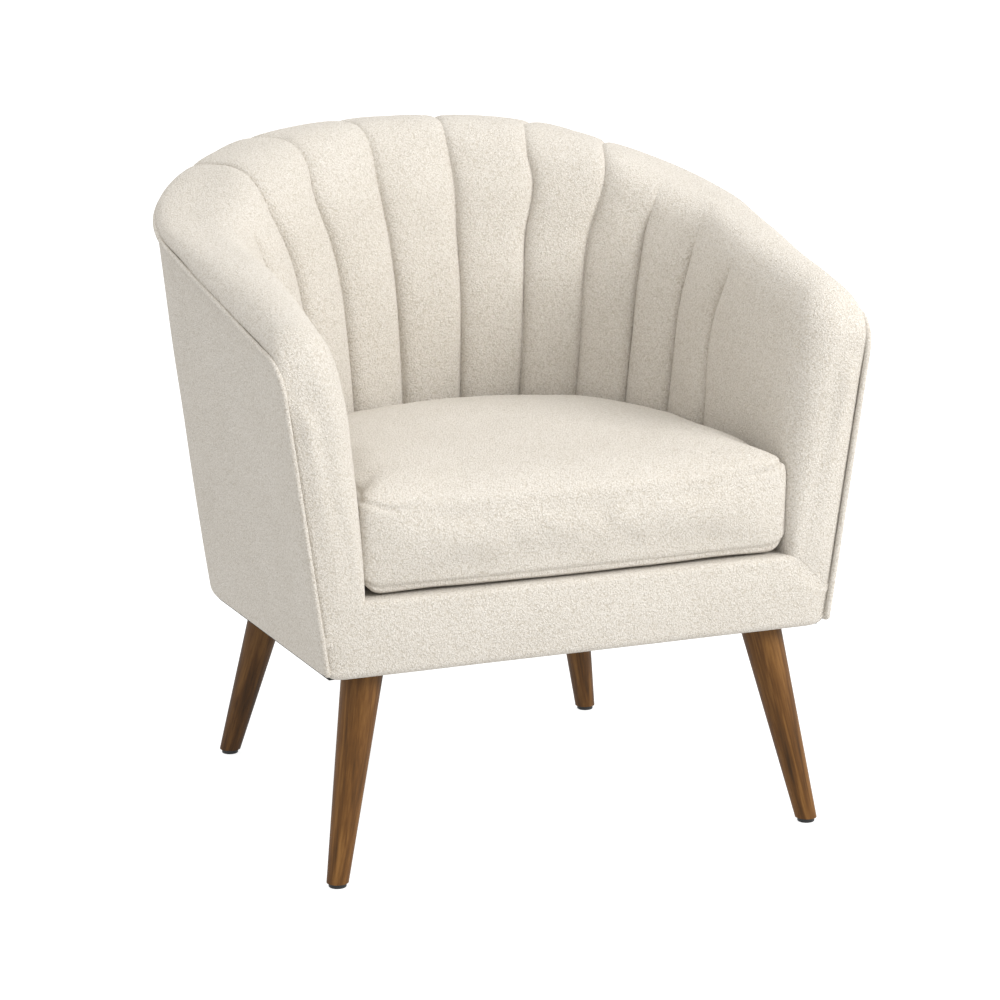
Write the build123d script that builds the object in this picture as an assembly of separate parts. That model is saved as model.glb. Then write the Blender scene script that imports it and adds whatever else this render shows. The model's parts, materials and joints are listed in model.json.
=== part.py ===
from build123d import *
import math
import os

# Upholstered tub armchair. Millimetres, +Z up, origin on the floor under the middle of the
# chair's bounding box. The chair faces -Y, so its left-hand side seen from the front is -X.

# ---- driving dimensions --------------------------------------------------------------------

# A tub plan is a straight side, a corner arc and a back arc, tangent to each other:
# (half width, y where the straight side ends, corner radius, corner angle in degrees).
BODY_BOTTOM = 246.0
TUB_HIGH = 810.0
OUTER_LOW = (313.6, 65.0, 164.0, 43.6)
OUTER_HIGH = (395.3, 20.2, 283.5, 67.3)
FRONT_Y = -325.0

# The padded inside of the tub, at three heights.
INNER_FOOT_Z = 320.0
INNER_WAIST_Z = 580.0
INNER_FOOT = (257.0, -65.0, 165.0, 50.0)
INNER_WAIST = (275.0, -72.0, 180.0, 50.0)
INNER_HIGH = (335.0, -38.0, 240.0, 55.0)

# Side view: height of the outer rim seam and of the padded ridge above it, at a few y.
SEAM_LINE = [(-256.0, 623.0), (-144.0, 648.0), (-32.0, 673.0), (58.0, 694.0), (147.0, 718.0),
             (237.0, 744.0), (332.0, 772.0)]
RIDGE_LINE = [(-256.0, 652.0), (-152.0, 676.0), (-17.0, 700.0), (115.0, 727.0), (195.0, 760.0),
              (273.0, 799.0), (332.0, 786.0)]

# Layers of the tub wall, counted inwards from its outer face.
COVER = 3.0
LINER = 4.0
BOARD = 21.0
FOAM = 38.0
PLY = 6.0

# Seat frame.
RAIL_BOTTOM = 250.0
SPRING_RAIL_TOP = 320.0
RAIL_TOP = 327.0
FRONT_RAIL_Y = (-313.0, -291.0)
FRONT_BORDER = 12.0
BLOCK_TOP = 310.0
SCREW_Z = 296.0
TOP_RAIL_HEIGHT = 22.0
RIM_GAP = 6.0
POST_DEPTH = 48.0
BACK_POST_WIDTH = 44.0
BACK_POST_TURNS = (62.0, 25.5, -25.5, -62.0)

# Seat build-up.
SPRING_WIRE = 3.6
SPRING_ROW = 13.0
SPRING_REACH = 21.0
SPRING_X = (-184.0, -92.0, 0.0, 92.0, 184.0)
DECK_CLOTH = 2.0
DECK_TOP = 341.0

# Legs: centre on the floor, centre where the leg enters the body, and the two radii.
FRONT_FOOT = (302.4, -312.0)
FRONT_HEAD = (253.2, -272.2)
BACK_FOOT = (251.1, 222.5)
BACK_HEAD = (198.4, 173.1)
FOOT_RADIUS = 12.5
HEAD_RADIUS = 24.5
LEG_TOP = 250.0
GLIDE_HEIGHT = 5.5
GLIDE_RADIUS = 10.4
NAIL_RADIUS = 1.3
NAIL_LENGTH = 16.0
BOLT_RADIUS = 4.0
BOLT_IN_LEG = 40.0
BOLT_IN_BLOCK = 46.0
NUT_FLANGE = 11.0
NUT_BARREL = 5.2
NUT_DEPTH = 12.0

# Loose seat cushion.
CUSHION_BOTTOM = 341.3
CUSHION_EDGE = 452.0
CUSHION_CROWN = 12.0
CUSHION_PLAN = (254.0, -62.0, 160.0, 50.0)
CUSHION_FRONT = -313.0
CUSHION_BOW = 7.0
CUSHION_ROUND = 16.0
CUSHION_SKIN = 2.0
ZIP_HALF_ANGLE = 32.0
ZIP_HEIGHT = 26.0
ZIP_GROOVE = 6.0
ZIP_TAPE = 1.2
SLIDER_SIZE = (9.0, 3.0, 7.0)

# Seams between the sewn channels, as plan points at seat level and at the ridge, +X side.
CHANNEL_SEAMS = [((39.0, 148.0), (58.0, 270.0)), ((118.0, 142.0), (168.0, 245.0)),
                 ((182.0, 108.0), (259.0, 192.0)), ((228.0, 48.0), (307.0, 130.0)),
                 ((256.0, -18.0), (330.0, 30.0)), ((264.0, -99.0), (334.0, -75.0))]

WELT_PROUD = 2.0
WELT_HALF = 3.0
FAR = 420.0

os.makedirs("parts", exist_ok=True)


# ---- shared shapes -------------------------------------------------------------------------

def save(name, shape):
    """Write one sub-part, named as its node."""
    shape.label = name
    export_step(shape, f"parts/{name}.step")


def back_arc(plan):
    """Centre y and radius of a tub plan's back arc."""
    half, side_end, radius, angle = plan
    turn = math.radians(angle)
    centre = side_end - (half - radius) * math.tan(turn)
    return centre, radius + (half - radius) / math.cos(turn)


def tub_face(plan, z, inset, front):
    """Closed tub plan at height z, moved inwards by inset, cut off straight at y = front."""
    half, side_end, radius, angle = plan
    centre, back_radius = back_arc(plan)

    def corner(degrees):
        turn = math.radians(degrees)
        reach = radius - inset
        return half - radius + reach * math.cos(turn), side_end + reach * math.sin(turn)

    x1, y1 = corner(angle / 2)
    x2, y2 = corner(angle)
    side = half - inset
    back = (0, centre + back_radius - inset, z)
    edges = [
        Line((side, front, z), (side, side_end, z)),
        ThreePointArc((side, side_end, z), (x1, y1, z), (x2, y2, z)),
        ThreePointArc((x2, y2, z), back, (-x2, y2, z)),
        ThreePointArc((-x2, y2, z), (-x1, y1, z), (-side, side_end, z)),
        Line((-side, side_end, z), (-side, front, z)),
        Line((-side, front, z), (side, front, z)),
    ]
    return Face(Wire(edges))


def outer_tub(inset=0.0, front=FRONT_Y):
    """Everything inside the tub's outer face, moved inwards by inset."""
    low = tub_face(OUTER_LOW, BODY_BOTTOM, inset, front)
    high = tub_face(OUTER_HIGH, TUB_HIGH, inset, front)
    return Solid.make_loft([low.outer_wire(), high.outer_wire()], ruled=True)


def inner_tub(outset=0.0, front=-FAR):
    """The seat space inside the padding, grown outwards by outset."""
    levels = [(INNER_FOOT, INNER_FOOT_Z), (INNER_WAIST, INNER_WAIST_Z), (INNER_HIGH, TUB_HIGH + 5)]
    wires = [tub_face(plan, z, -outset, front).outer_wire() for plan, z in levels]
    return Solid.make_loft(wires, ruled=True)


def under_line(points, drop=0.0):
    """Prism right across the chair below a side-view line, lowered by drop.

    The line rises at the front face and rounds the front corner with a quarter circle.
    """
    front = FRONT_Y - 1
    back = points[-1][0]
    radius = points[0][0] - front
    start = points[0][1] - radius - drop
    mid = radius * math.sqrt(0.5)
    low = BODY_BOTTOM - 10
    middle = (0, front + radius - mid, start + mid)
    edges = [
        Line((0, front, low), (0, front, start)),
        ThreePointArc((0, front, start), middle, (0, points[0][0], start + radius)),
        *Polyline(*[(0, y, z - drop) for y, z in points]).edges(),
        Line((0, back, points[-1][1] - drop), (0, back, low)),
        Line((0, back, low), (0, front, low)),
    ]
    return extrude(Face(Wire(edges)), amount=FAR, dir=(1, 0, 0), both=True)


def slab(z1, z2):
    """Everything between two heights."""
    return Pos(0, 0, (z1 + z2) / 2) * Box(2 * FAR, 2 * FAR, z2 - z1)


def block(x1, x2, y1, y2, z1, z2):
    """Box given by its limits."""
    return Pos((x1 + x2) / 2, (y1 + y2) / 2, (z1 + z2) / 2) * Box(x2 - x1, y2 - y1, z2 - z1)


def prism(points, z1, z2):
    """Upright prism on a polygon in plan."""
    outline = Polyline(*[(x, y, z1) for x, y in points], close=True)
    return extrude(Face(Wire(outline.edges())), amount=z2 - z1, dir=(0, 0, 1))


def solids_of(shape):
    """Plain compound of a boolean's solids, without crumbs."""
    pieces = [s for s in shape.solids() if s.volume > 5.0]
    return pieces[0] if len(pieces) == 1 else Compound(children=pieces)


# ---- legs and their fixings ----------------------------------------------------------------

def leg_axes():
    """Name, foot centre and head centre of each leg."""
    for side, sign in (("left", -1), ("right", 1)):
        for end, foot, head in (("front_", FRONT_FOOT, FRONT_HEAD), ("back_", BACK_FOOT, BACK_HEAD)):
            yield end + side, (sign * foot[0], foot[1]), (sign * head[0], head[1])


def leg_plane(foot, head):
    """Plane across a leg where it enters the body, with its normal up the leg."""
    direction = Vector(head[0] - foot[0], head[1] - foot[1], BODY_BOTTOM)
    return Plane(origin=(head[0], head[1], BODY_BOTTOM), z_dir=direction.normalized())


def rod(plane, radius, start, end):
    """Cylinder on a plane's normal from start to end."""
    height = end - start
    return plane * Pos(0, 0, (start + end) / 2) * Cylinder(radius, height)


def leg_shape(plane, foot, head):
    """Tapered splayed leg, flat at both ends, with its bolt and nail holes."""
    length = Vector(head[0] - foot[0], head[1] - foot[1], BODY_BOTTOM).length
    grow = (HEAD_RADIUS - FOOT_RADIUS) / length
    spare = 20.0
    cone = Cone(FOOT_RADIUS - grow * spare, HEAD_RADIUS + grow * spare, length + 2 * spare)
    shape = plane * Pos(0, 0, -length / 2) * cone
    shape = shape & slab(GLIDE_HEIGHT, LEG_TOP)
    shape = shape - rod(plane, BOLT_RADIUS, -BOLT_IN_LEG, spare)
    nail = Pos(foot_centre(foot, head)) * Cylinder(NAIL_RADIUS, 2 * NAIL_LENGTH)
    return solids_of(shape - nail)


def foot_centre(foot, head):
    """Centre of the leg's lower end face."""
    part = GLIDE_HEIGHT / BODY_BOTTOM
    return (foot[0] + (head[0] - foot[0]) * part, foot[1] + (head[1] - foot[1]) * part, GLIDE_HEIGHT)


def glide_shape(foot, head):
    """Round plastic glide with the nail that holds it."""
    x, y, z = foot_centre(foot, head)
    disc = Pos(x, y, z / 2) * Cylinder(GLIDE_RADIUS, z)
    disc = fillet(disc.edges().group_by(Axis.Z)[0], 1.4)
    return disc + Pos(x, y, z + NAIL_LENGTH / 2) * Cylinder(NAIL_RADIUS, NAIL_LENGTH)


def nut_shape(plane):
    """T-nut: flange on top of the block, barrel down into it, bored for the bolt."""
    top = BOLT_IN_BLOCK - 1
    shape = rod(plane, NUT_FLANGE, top - 1.6, top) + rod(plane, NUT_BARREL, top - NUT_DEPTH, top)
    return shape - rod(plane, BOLT_RADIUS, 0, top + 10)


def block_holes(plane):
    """Clearance cut in a corner block for its bolt and T-nut."""
    top = BOLT_IN_BLOCK - 1
    hole = rod(plane, BOLT_RADIUS + 0.5, -20, top)
    hole += rod(plane, NUT_BARREL, top - NUT_DEPTH, top)
    return hole + rod(plane, NUT_FLANGE + 0.5, top - 1.6, top + 40)


# ---- wooden frame --------------------------------------------------------------------------

def board_zone():
    """Where the tub's boards stand: one board thick, just inside the liner."""
    skin = COVER + LINER
    return outer_tub(skin, -FAR) - outer_tub(skin + BOARD, -FAR)


def seat_rails(zone, screws):
    """Front, side and back rails of the seat frame, drilled for the block screws."""
    y1, y2 = FRONT_RAIL_Y
    inside = outer_tub(COVER + LINER, -FAR)
    front = solids_of(block(-FAR, FAR, y1, y2, RAIL_BOTTOM, SPRING_RAIL_TOP) & inside)
    side_end = 40.0
    ring = zone & slab(RAIL_BOTTOM, RAIL_TOP)
    right = ring & block(0, FAR, y2, side_end, RAIL_BOTTOM, RAIL_TOP)
    right = solids_of(right - screws)
    left = mirror(right, about=Plane.YZ)
    low_ring = zone & slab(RAIL_BOTTOM, SPRING_RAIL_TOP)
    back = low_ring & block(-FAR, FAR, side_end, FAR, RAIL_BOTTOM, SPRING_RAIL_TOP)
    back = solids_of(back - screws)
    return {"front_rail": front, "side_rail_left": left, "side_rail_right": right, "back_rail": back}


def corner_blocks(screws):
    """Four glued and screwed blocks that take the legs."""
    inside = outer_tub(COVER + LINER + BOARD, -FAR)
    y2 = FRONT_RAIL_Y[1]
    front = [(FAR, y2), (196, y2), (196, y2 + 46), (232, y2 + 82), (FAR, y2 + 82)]
    back = [(FAR, 118), (222, 118), (146, 176), (146, FAR), (FAR, FAR)]
    blocks = {}
    for name, foot, head in leg_axes():
        plan = front if name.startswith("front") else back
        if name.endswith("left"):
            plan = [(-x, y) for x, y in plan]
        shape = prism(plan, RAIL_BOTTOM, BLOCK_TOP) & inside
        shape = shape - block_holes(leg_plane(foot, head)) - screws
        blocks["corner_block_" + name] = solids_of(shape)
    return blocks


def block_screws():
    """Countersunk screws through the corner blocks into the rails, two to a block."""
    screws = []
    for sign in (-1, 1):
        for y, x_head, x_end in ((-240, 203, 304), (-222, 221, 304), (134, 203, 286), (150, 182, 276)):
            plane = Plane(origin=(sign * x_head, y, SCREW_Z), z_dir=(sign, 0, 0))
            reach = x_end - x_head
            shank = plane * Pos(0, 0, reach / 2) * Cylinder(2.0, reach)
            head = plane * Pos(0, 0, 1.5) * Cone(4.2, 2.0, 3.0)
            screws.append(shank + head)
    return screws


def upright_frame(zone):
    """Arm posts, back posts and the bent top rail that ties them together."""
    below = under_line(SEAM_LINE, TOP_RAIL_HEIGHT + RIM_GAP)
    top_zone = (zone & under_line(SEAM_LINE, RIM_GAP)) - below
    parts = {}
    post_front = FRONT_RAIL_Y[0]
    for side, sign in (("left", -1), ("right", 1)):
        x1, x2 = sorted((0, sign * FAR))
        reach = block(x1, x2, post_front, post_front + POST_DEPTH, RAIL_TOP, FAR * 2)
        parts["arm_post_" + side] = solids_of(zone & reach & below)
    hoop = top_zone & block(-FAR, FAR, post_front + 12, FAR, 400, FAR * 2)
    parts["top_rail"] = solids_of(hoop)
    for number, turn in enumerate(BACK_POST_TURNS, 1):
        half = BACK_POST_WIDTH / 2
        wedge = Rot(0, 0, -turn) * block(-half, half, 150, FAR * 2, SPRING_RAIL_TOP, FAR * 2)
        wedge = Pos(0, -30, 0) * wedge
        parts[f"back_post_{number}"] = solids_of(zone & wedge & below)
    return parts


def inner_shell():
    """Bent ply shell behind the channels."""
    skin = inner_tub(FOAM + PLY) - inner_tub(FOAM)
    skin = skin & under_line(SEAM_LINE, TOP_RAIL_HEIGHT + RIM_GAP)
    behind_posts = FRONT_RAIL_Y[0] + POST_DEPTH + 2
    skin = skin & block(-FAR, FAR, behind_posts, FAR, RAIL_TOP + 4, FAR * 2)
    return solids_of(skin)


def liner_panels():
    """Fibreboard panels under the outside cover, butted edge to edge."""
    skin = outer_tub(COVER, -FAR) - outer_tub(COVER + LINER, -FAR)
    skin = skin & under_line(SEAM_LINE, RIM_GAP) & slab(RAIL_BOTTOM, FAR * 2)
    skin = skin & block(-FAR, FAR, FRONT_Y + FRONT_BORDER, FAR, 0, FAR * 2)
    corner = [(60, 40), (FAR, 40), (FAR, FAR * 2), (150, FAR * 2), (90, 180)]
    zones = {
        "side_right": block(0, FAR, -FAR, 40, 0, FAR * 2),
        "side_left": block(-FAR, 0, -FAR, 40, 0, FAR * 2),
        "corner_right": prism(corner, 0, FAR * 2),
        "corner_left": prism([(-x, y) for x, y in corner], 0, FAR * 2),
        "back": prism([(-90, 180), (90, 180), (150, FAR * 2), (-150, FAR * 2)], 0, FAR * 2),
    }
    return {"liner_" + name: solids_of(skin & zone) for name, zone in zones.items()}


# ---- upholstery ----------------------------------------------------------------------------

def along(start, end, distance):
    """Point on the line from start to end, distance past start."""
    length = math.hypot(end[0] - start[0], end[1] - start[1])
    part = distance / length
    return start[0] + (end[0] - start[0]) * part, start[1] + (end[1] - start[1]) * part


def padding():
    """Foam on the inside of the tub and over its rim, and round the arm fronts."""
    wall = outer_tub() & under_line(RIDGE_LINE)
    wall = wall - inner_tub()
    wall = wall & slab(RAIL_TOP + DECK_CLOTH, TUB_HIGH)
    core = under_line(SEAM_LINE) - inner_tub(FOAM)
    core = core & block(-FAR, FAR, FRONT_Y + FRONT_BORDER, FAR, 0, TUB_HIGH)
    return wall - core


def padding_zones():
    """One plan polygon for each channel, left to right, and for each arm."""
    lines = [(along(low, high, -60), along(low, high, 320)) for low, high in CHANNEL_SEAMS]
    left = [((-a[0], a[1]), (-b[0], b[1])) for a, b in lines]
    fan = left[::-1] + lines
    zones = {}
    for number in range(len(fan) - 1):
        (a, b), (c, d) = fan[number], fan[number + 1]
        zones[f"back_channel_{number + 1:02d}"] = [a, b, d, c]
    a, b = lines[-1]
    zones["arm_pad_right"] = [a, b, (2 * FAR, -FAR), (a[0], -FAR)]
    zones["arm_pad_left"] = [(-x, y) for x, y in zones["arm_pad_right"]]
    return zones


def outside_cover():
    """Fabric skin on the outside of the tub, up to the rim seam."""
    skin = outer_tub(0, -FAR) - outer_tub(COVER, -FAR)
    skin = skin & under_line(SEAM_LINE)
    return solids_of(skin & block(-FAR, FAR, FRONT_Y + FRONT_BORDER, FAR, 0, TUB_HIGH))


def rim_welt():
    """Raised self welt along the rim seam and down the front corners."""
    proud = outer_tub(-WELT_PROUD, FRONT_Y - WELT_PROUD) - outer_tub(0, FRONT_Y)
    rim = (proud & under_line(SEAM_LINE, -WELT_HALF)) - under_line(SEAM_LINE, WELT_HALF)
    rim = rim & block(-FAR, FAR, FRONT_Y, FAR, 0, TUB_HIGH)
    corners = proud & block(-FAR, FAR, FRONT_Y, FRONT_Y + 2 * WELT_HALF, BODY_BOTTOM, SEAM_LINE[0][1] - 40)
    return solids_of(rim + corners)


def front_border():
    """Padded cover of the front rail, with a lip over its top."""
    y1 = FRONT_Y
    face = outer_tub() & block(-FAR, FAR, y1, y1 + FRONT_BORDER, BODY_BOTTOM, RAIL_TOP + DECK_CLOTH)
    half = INNER_FOOT[0] - 1
    lip = block(-half, half, y1, FRONT_RAIL_Y[1], RAIL_TOP + DECK_CLOTH, DECK_TOP - 6)
    return solids_of(face + lip)


def deck():
    """Cloth over the springs and the thin pad on it."""
    y1 = FRONT_RAIL_Y[1]
    cloth_top = RAIL_TOP + DECK_CLOTH
    inside_frame = outer_tub(COVER + LINER + BOARD, -FAR)
    cloth = inside_frame & block(-FAR, FAR, y1, FAR, RAIL_TOP, cloth_top)
    pad = inner_tub(-1.0) & block(-FAR, FAR, y1 + 0.5, FAR, cloth_top, DECK_TOP)
    return {"deck_cloth": solids_of(cloth), "deck_pad": solids_of(pad)}


def dust_cover(legs):
    """Cloth under the seat frame, cut out round the legs."""
    sheet = outer_tub(COVER + 1, FRONT_Y + FRONT_BORDER) & slab(BODY_BOTTOM, BODY_BOTTOM + 1.5)
    for plane in legs:
        sheet = sheet - rod(plane, HEAD_RADIUS + 1, -20, 20)
    return solids_of(sheet)


# ---- seat springs --------------------------------------------------------------------------

def deck_back_y(x):
    """Inner face of the back rail at a given x."""
    centre, radius = back_arc(OUTER_LOW)
    return centre + math.sqrt((radius - COVER - LINER - BOARD) ** 2 - x * x)


def spring_path(x, y1, y2, z):
    """Zigzag of crossings joined by round turns, from front to back."""
    rows = int((y2 - y1 - 3 * SPRING_ROW) // SPRING_ROW)
    first = (y1 + y2 - rows * SPRING_ROW) / 2
    points = [(x, y1, z), (x, first, z)]
    for row in range(rows):
        y = first + row * SPRING_ROW
        tip = x + SPRING_REACH * (-1) ** row
        points += [(tip, y, z), (tip, y + SPRING_ROW, z)]
    points += [(x, first + rows * SPRING_ROW, z), (x, y2, z)]
    return FilletPolyline(*points, radius=SPRING_ROW / 2 - 0.3).wire()


def seat_springs():
    """Five sinuous springs and the clips that hold their ends on the rails."""
    z = SPRING_RAIL_TOP + 1.2 + SPRING_WIRE / 2
    springs = []
    clips = []
    for x in SPRING_X:
        y1 = FRONT_RAIL_Y[1] - 12
        y2 = deck_back_y(x) + 10
        path = spring_path(x, y1, y2, z)
        ring = Plane(origin=(x, y1, z), z_dir=(0, 1, 0)) * Circle(SPRING_WIRE / 2)
        springs.append(sweep(ring.face(), path=path))
        for y in (y1 + 5, y2 - 5):
            clip = block(x - 7, x + 7, y - 5, y + 5, SPRING_RAIL_TOP, z + SPRING_WIRE / 2 + 1.2)
            clips.append(clip - Pos(x, y, z) * Rot(90, 0, 0) * Cylinder(SPRING_WIRE / 2, 40))
    return {"sinuous_springs": Compound(children=springs), "spring_clips": Compound(children=clips)}


# ---- loose seat cushion --------------------------------------------------------------------

def cushion_form(inset):
    """Boxed cushion: a D in plan with a bowed front and rounded edges."""
    half, side_end, radius, angle = CUSHION_PLAN
    centre, back_radius = back_arc(CUSHION_PLAN)
    turn = math.radians(angle)
    reach = radius - inset
    side = half - inset
    mid = (half - radius + reach * math.cos(turn / 2), side_end + reach * math.sin(turn / 2))
    end = (half - radius + reach * math.cos(turn), side_end + reach * math.sin(turn))
    front = CUSHION_FRONT + inset
    z = CUSHION_BOTTOM + inset
    edges = [
        Line((side, front, z), (side, side_end, z)),
        ThreePointArc((side, side_end, z), (*mid, z), (*end, z)),
        ThreePointArc((*end, z), (0, centre + back_radius - inset, z), (-end[0], end[1], z)),
        ThreePointArc((-end[0], end[1], z), (-mid[0], mid[1], z), (-side, side_end, z)),
        Line((-side, side_end, z), (-side, front, z)),
        ThreePointArc((-side, front, z), (0, front - CUSHION_BOW, z), (side, front, z)),
    ]
    height = CUSHION_EDGE + CUSHION_CROWN - CUSHION_BOTTOM - 2 * inset
    shape = extrude(Face(Wire(edges)), amount=height, dir=(0, 0, 1))
    uprights = shape.edges().filter_by(Axis.Z).sort_by(Axis.Y)[:2]
    shape = fillet(uprights, 26 - inset)
    shape = fillet(shape.faces().sort_by(Axis.Z)[-1].edges(), CUSHION_ROUND + CUSHION_CROWN - inset)
    return fillet(shape.faces().sort_by(Axis.Z)[0].edges(), CUSHION_ROUND - inset)


def zip_band(inner, outer, low, high, half_angle):
    """Band of the cushion's back edge between two radii about its back arc's centre."""
    centre, radius = back_arc(CUSHION_PLAN)
    band = Cylinder(radius - inner, high - low) - Cylinder(radius - outer, high - low)
    band = Pos(0, centre, (low + high) / 2) * band
    turn = math.radians(half_angle)
    wide = 2 * radius * math.sin(turn)
    deep = 2 * radius * math.cos(turn)
    wedge = [(0, centre), (wide, centre + deep), (-wide, centre + deep)]
    return band & prism(wedge, low, high)


def seat_cushion():
    """Cushion cover, foam core, zip tape and zip slider."""
    centre, radius = back_arc(CUSHION_PLAN)
    middle = (CUSHION_BOTTOM + CUSHION_EDGE) / 2
    low = middle - ZIP_HEIGHT / 2
    high = middle + ZIP_HEIGHT / 2
    groove = zip_band(-1, ZIP_GROOVE, low, high, ZIP_HALF_ANGLE)
    tape_depth = ZIP_GROOVE + ZIP_TAPE
    core_cut = zip_band(-1, tape_depth, low - 3, high + 3, ZIP_HALF_ANGLE + 1)
    core = cushion_form(CUSHION_SKIN) - core_cut
    hollow_cut = zip_band(-1, tape_depth, low - 1, high + 1, ZIP_HALF_ANGLE + 0.5)
    hollow = cushion_form(CUSHION_SKIN) - hollow_cut
    cover = cushion_form(0) - hollow - groove
    tape = zip_band(ZIP_GROOVE, ZIP_GROOVE + ZIP_TAPE, low, high, ZIP_HALF_ANGLE)
    cover = cover - tape
    wide, deep, tall = SLIDER_SIZE
    slider = Pos(0, centre + radius - ZIP_GROOVE + 0.4 + deep / 2, middle) * Box(wide, deep, tall)
    slider = Pos(0, centre, 0) * Rot(0, 0, -ZIP_HALF_ANGLE + 3) * Pos(0, -centre, 0) * slider
    return {
        "cushion_cover": solids_of(cover),
        "cushion_core": solids_of(core),
        "zip_tape": solids_of(tape),
        "zip_slider": solids_of(slider),
    }


# ---- build ---------------------------------------------------------------------------------

def main():
    zone = board_zone()
    planes = []
    nuts = []
    bolts = []
    for name, foot, head in leg_axes():
        plane = leg_plane(foot, head)
        planes.append(plane)
        save("leg_" + name, leg_shape(plane, foot, head))
        save("glide_" + name, glide_shape(foot, head))
        nuts.append(nut_shape(plane))
        bolts.append(rod(plane, BOLT_RADIUS, -BOLT_IN_LEG, BOLT_IN_BLOCK + 4))
    save("t_nuts", Compound(children=nuts))
    save("hanger_bolts", Compound(children=bolts))

    screws = block_screws()
    all_screws = Compound(children=screws)
    save("block_screws", all_screws)
    for name, shape in seat_rails(zone, all_screws).items():
        save(name, shape)
    for name, shape in corner_blocks(all_screws).items():
        save(name, shape)
    for name, shape in upright_frame(zone).items():
        save(name, shape)
    save("inner_shell", inner_shell())
    for name, shape in liner_panels().items():
        save(name, shape)
    for name, shape in seat_springs().items():
        save(name, shape)

    pads = padding()
    for name, zone_plan in padding_zones().items():
        save(name, solids_of(pads & prism(zone_plan, RAIL_TOP, TUB_HIGH)))
    save("outside_cover", outside_cover())
    save("rim_welt", rim_welt())
    save("front_border", front_border())
    for name, shape in deck().items():
        save(name, shape)
    save("dust_cover", dust_cover(planes))
    for name, shape in seat_cushion().items():
        save(name, shape)


main()
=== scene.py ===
"""Looks of an upholstered tub armchair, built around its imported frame.

Lengths are in millimetres until a mesh is made. The axes are the frame's own: +X to the right
of someone facing the chair's front, +Y to its back and +Z up.
"""

import json
import math

import bmesh
import bpy
import numpy as np
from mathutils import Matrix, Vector


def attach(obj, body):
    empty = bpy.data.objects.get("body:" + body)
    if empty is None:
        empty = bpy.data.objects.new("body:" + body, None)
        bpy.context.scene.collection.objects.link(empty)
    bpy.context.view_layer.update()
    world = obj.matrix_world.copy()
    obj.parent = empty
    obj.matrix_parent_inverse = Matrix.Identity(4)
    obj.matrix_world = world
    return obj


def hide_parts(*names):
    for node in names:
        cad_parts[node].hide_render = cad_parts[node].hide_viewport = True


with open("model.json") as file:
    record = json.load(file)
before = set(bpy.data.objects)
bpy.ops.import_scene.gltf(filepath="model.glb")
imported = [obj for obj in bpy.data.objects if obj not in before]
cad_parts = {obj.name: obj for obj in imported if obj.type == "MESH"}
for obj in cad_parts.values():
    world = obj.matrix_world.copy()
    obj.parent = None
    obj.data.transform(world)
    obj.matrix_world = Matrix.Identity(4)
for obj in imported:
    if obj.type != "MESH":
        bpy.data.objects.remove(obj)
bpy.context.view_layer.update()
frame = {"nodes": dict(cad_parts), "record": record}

# Body of the chair
FRONT = -325.0  # plane of the arm fronts and the front rail
BODY_BOTTOM = 246.0
DECK_LINE = 336.0  # where the inner faces end, behind the seat cushion
SEAM_TURN = 34.0  # radii of the turn from the arm's top down to its front: at the outer seam,
RIDGE_TURN = 53.0  # on the ridge
SHOULDER_TURN = 75.0  # and where the inner face starts
INNER_TURN_LOW = 12.0  # the arm's inner face rounds into its front, tightly at the rail
INNER_TURN_HIGH = 36.0  # and broadly higher up
FRONT_FLARE = 4.0  # the arms open this much towards the front
HIGH_FLARE = 6.0  # and this much more near their tops
FLARE_LENGTH = 200.0
SIDE_TURN = 8.0  # the sides round under the body
CORNER_TURN = 15.0  # the front's lower corners, seen from the front
CORNER_LIFT = 10.0  # and seen from the side
CORNER_REACH = 34.0  # those corners fade into the sides over this length
QUARTER_ELLIPSE = 0.55  # handle length of a curve that is close to a quarter of an ellipse
BACK_RIM_FULLNESS = 0.80  # the same handle round the back's rim, squarer
RIM_DROP = 44.0  # from the ridge of the rim down to the start of the inner face
SOFT_EDGE = 9.0  # rounding of the front's lower edge
RAIL_EDGE = 7.0  # and of the front rail's upper edge
WALL_END = 326.0  # the inner faces run on down past the deck's edge
OUTER_LOW = (313.6, 65.0, 164.0, 43.6)  # half width, end of the straight side, corner radius and angle
OUTER_HIGH = (395.3, 20.2, 283.5, 67.3)
OUTER_HIGH_Z = 810.0
RIDGE_PLAN = (334.0, 20.0, 215.0, 60.0)
RIDGE_LEAN = 0.12  # the ridge moves in by this share of its drop at the arm's front
RIDGE_LINE = (  # place along Y, then height
    (-325, 640),
    (-152, 676),
    (-17, 700),
    (70, 716),
    (115, 730),
    (195, 766),
    (240, 787),
    (273, 798),
)
SEAM_LINE = (
    (-325, 610),
    (-256, 623),
    (-144, 648),
    (-32, 673),
    (58, 694),
    (147, 718),
    (237, 744),
    (332, 772),
)
INNER_ANGLE = 50.0
INNER_LEVELS = (  # height, half width, end of the straight side, middle of the back
    (335, 262, -62, 143),
    (457, 267, -62, 146),
    (546, 275, -63, 150),
    (610, 283, -63, 159),
    (658, 292, -59, 172),
    (715, 309, -52, 191),
    (770, 324, -44, 219),
    (815, 337, -38, 243),
)

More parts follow.
